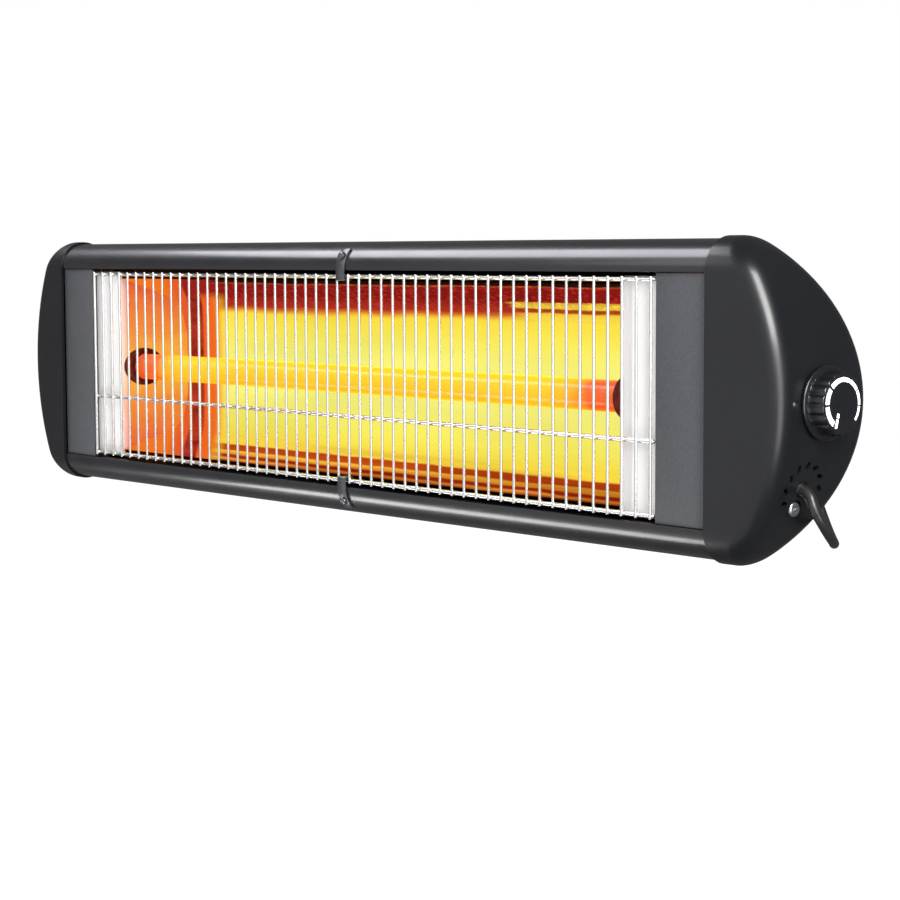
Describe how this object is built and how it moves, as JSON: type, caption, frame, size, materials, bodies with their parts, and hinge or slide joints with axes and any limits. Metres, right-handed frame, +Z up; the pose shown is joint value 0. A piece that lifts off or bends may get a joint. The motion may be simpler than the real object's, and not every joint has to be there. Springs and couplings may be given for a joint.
{
  "type": "electric bar heater",
  "caption": "Wall bar heater: long D-section housing, one glowing quartz tube in a folded reflector behind a wire guard, side knob, tilting wall brackets.",
  "frame": {"origin": "middle of the wall rail's back face, on the wall", "axes": "+Z up, -Y out of the wall towards the room, +X along the heater to the knob's end"},
  "size_m": [0.8226, 0.1512, 0.1934],
  "materials": {
    "satin_black": "satin",
    "plate_grey": "fine grained",
    "steel": "zinc plated",
    "moulded_black": "satin moulded",
    "mirror": "polished",
    "quartz": "glowing in use",
    "heating_wire": "glowing in use",
    "ceramic": "fired, dark",
    "chrome": "polished",
    "bakelite": "pressed",
    "pale_plastic": "moulded",
    "wire_sleeve": "silicone sleeve",
    "rubber": "smooth"
  },
  "bodies": {
    "root": {"wall_rail": "satin_black", "left_tilt_bolt": "steel", "left_tilt_nut": "steel", "right_tilt_bolt": "steel", "right_tilt_nut": "steel"},
    "heater": {"rear_casing": "satin_black", "top_rail": "satin_black", "bottom_rail": "satin_black", "right_side_plate": "plate_grey", "left_side_plate": "plate_grey", "right_end_frame": "steel", "left_end_frame": "steel", "right_end_cap": "moulded_black", "left_end_cap": "moulded_black", "right_cap_screw": "steel", "left_cap_screw": "steel", "reflector_trough": "mirror", "right_reflector_end": "mirror", "left_reflector_end": "mirror", "quartz_tube": "quartz", "heating_coil": "heating_wire", "right_tube_holder": "ceramic", "left_tube_holder": "ceramic", "right_tube_stud": "steel", "left_tube_stud": "steel", "right_holder_bracket": "steel", "left_holder_bracket": "steel", "wire_guard": "chrome", "top_guard_clip": "satin_black", "bottom_guard_clip": "satin_black", "top_clip_screw": "steel", "bottom_clip_screw": "steel", "regulator_body": "bakelite", "regulator_nut": "steel", "terminal_block": "pale_plastic", "cord_clamp": "steel", "inner_cord": "rubber", "thermal_cutout": "bakelite", "right_feed_wire": "wire_sleeve", "left_feed_wire": "wire_sleeve", "cutout_wire": "wire_sleeve", "regulator_lead": "wire_sleeve", "cord_gland": "rubber", "supply_cord": "rubber", "cord_hank": "rubber", "plug_tail": "rubber", "cord_tie": "rubber", "plug_body": "rubber", "plug_pin_a": "chrome", "plug_pin_b": "chrome", "left_lug_bracket": "satin_black", "left_lug_screw_a": "steel", "left_lug_screw_b": "steel", "right_lug_bracket": "satin_black", "right_lug_screw_a": "steel", "right_lug_screw_b": "steel"},
    "knob": {"knob": "moulded_black", "regulator_shaft": "steel"}
  },
  "joints": [
    {"name": "tilt", "type": "hinge", "parent": "root", "child": "heater", "pos_m": [0, -0.034, 0], "axis": [1, 0, 0], "range_deg": [0, 45]},
    {"name": "knob_turn", "type": "hinge", "parent": "heater", "child": "knob", "pos_m": [0.4049, -0.106, 0], "axis": [1, 0, 0], "range_deg": [0, 270]}
  ]
}
